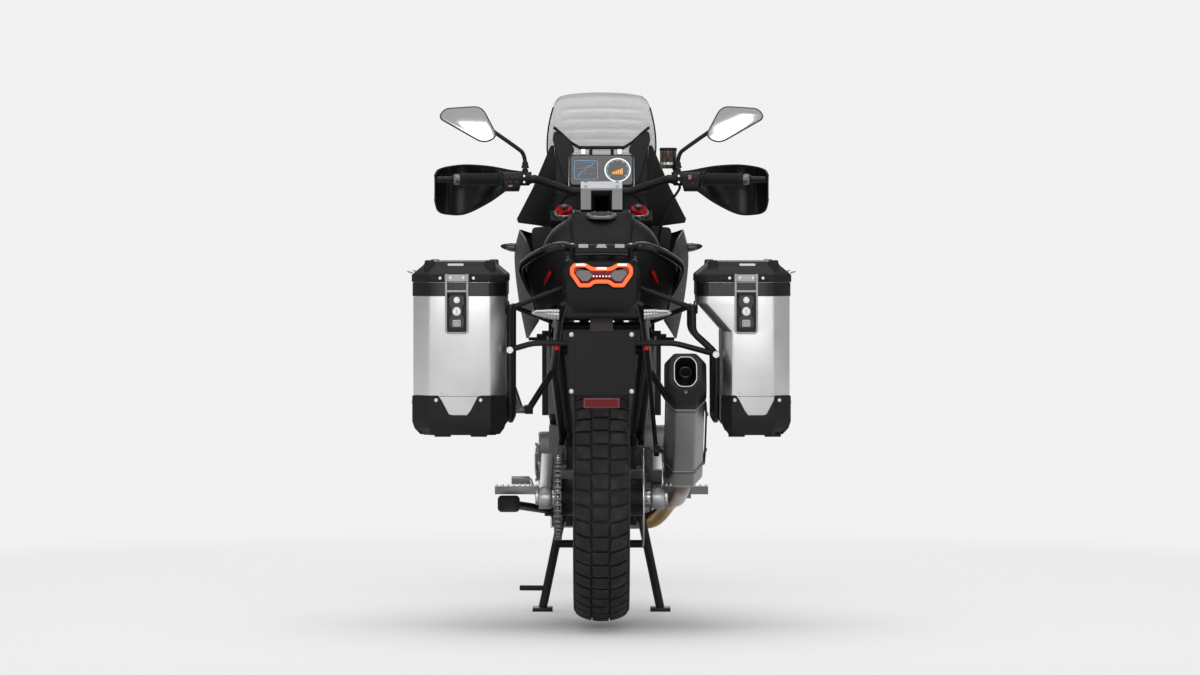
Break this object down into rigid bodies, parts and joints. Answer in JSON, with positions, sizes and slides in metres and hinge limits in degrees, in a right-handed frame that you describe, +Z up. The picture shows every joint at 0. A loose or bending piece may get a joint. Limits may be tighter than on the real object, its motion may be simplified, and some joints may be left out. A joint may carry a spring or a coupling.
{
  "type": "adventure motorcycle",
  "caption": "Adventure motorcycle with wire-spoke wheels, windscreen, hand guards, angular aluminium panniers, rear carrier and a centre stand, fully jointed.",
  "frame": {"origin": "bottom centre of the bounding box, on the floor", "axes": "+Y forward along the wheelbase, +X to the right of a rider, +Z up"},
  "size_m": [1.004, 2.345, 1.478],
  "materials": {
    "frame": "satin black powder coat",
    "engine_case": "dark grey cast and painted",
    "body_black": "textured black",
    "body_gloss": "gloss black",
    "tank_paint": "gloss dark grey paint",
    "saddle_cover": "grained black cover",
    "bare_aluminium": "brushed",
    "steel": "brushed",
    "dark_steel": "oiled",
    "rubber": "matt",
    "tyre": "matt",
    "screen": "clear, lightly smoked",
    "lamp": "coloured lens",
    "mirror_black": "gloss black shell",
    "plate": "matt black, blank"
  },
  "bodies": {
    "chassis": {"main_frame": "frame", "engine": "engine_case", "radiator": "bare_aluminium", "fuel_tank": "tank_paint", "saddle": "saddle_cover", "tail_unit": "body_black", "front_cowl": "body_black", "windscreen": "screen", "display": "body_gloss", "shrouds": "tank_paint", "skid_plate": "bare_aluminium", "exhaust_headers": "steel", "silencer": "steel", "subframe": "frame", "lights": "lamp", "plate_holder": "body_black", "number_plate": "plate", "rear_carrier": "body_black", "pannier_rack": "frame", "pannier_left": "bare_aluminium", "pannier_right": "bare_aluminium", "swingarm": "frame", "rear_shock": "steel", "rear_axle": "steel", "rear_caliper": "engine_case", "chain": "dark_steel", "foot_controls": "dark_steel"},
    "steering": {"steering_yokes": "engine_case", "fork_tubes": "dark_steel", "fork_legs": "frame", "handlebar": "frame", "bar_controls": "rubber", "hand_guards": "body_gloss", "mirrors": "mirror_black", "front_fender": "body_black", "front_calipers": "engine_case", "front_brake_hose": "rubber"},
    "front_wheel": {"front_tyre": "tyre", "front_wheel": "bare_aluminium", "front_discs": "steel"},
    "rear_wheel": {"rear_tyre": "tyre", "rear_wheel": "bare_aluminium", "rear_sprocket": "steel", "rear_disc": "steel"},
    "centre_stand": {"centre_stand": "frame"},
    "side_stand": {"side_stand": "frame"},
    "left_lid": {"pannier_left_lid": "body_black"},
    "right_lid": {"pannier_right_lid": "body_black"}
  },
  "joints": [
    {"name": "steering", "type": "hinge", "parent": "chassis", "child": "steering", "pos_m": [0, 0.4507, 0.98], "axis": [0, -0.454, 0.891], "range_deg": [-36, 36]},
    {"name": "front_wheel_spin", "type": "hinge", "parent": "steering", "child": "front_wheel", "pos_m": [0, 0.832, 0.347], "axis": [1, 0, 0], "continuous": true},
    {"name": "rear_wheel_spin", "type": "hinge", "parent": "chassis", "child": "rear_wheel", "pos_m": [0, -0.778, 0.348], "axis": [1, 0, 0], "continuous": true},
    {"name": "centre_stand_fold", "type": "hinge", "parent": "chassis", "child": "centre_stand", "pos_m": [0, -0.33, 0.2694], "axis": [-1, 0, 0], "range_deg": [0, 97]},
    {"name": "side_stand_fold", "type": "hinge", "parent": "chassis", "child": "side_stand", "pos_m": [-0.154, -0.04, 0.27], "axis": [0.997, 0.0768, 0], "range_deg": [0, 104]},
    {"name": "left_lid", "type": "hinge", "parent": "chassis", "child": "left_lid", "pos_m": [-0.378, -0.472, 0.936], "axis": [-1, 0, 0], "range_deg": [0, 95]},
    {"name": "right_lid", "type": "hinge", "parent": "chassis", "child": "right_lid", "pos_m": [0.378, -0.472, 0.936], "axis": [-1, 0, 0], "range_deg": [0, 95]}
  ]
}
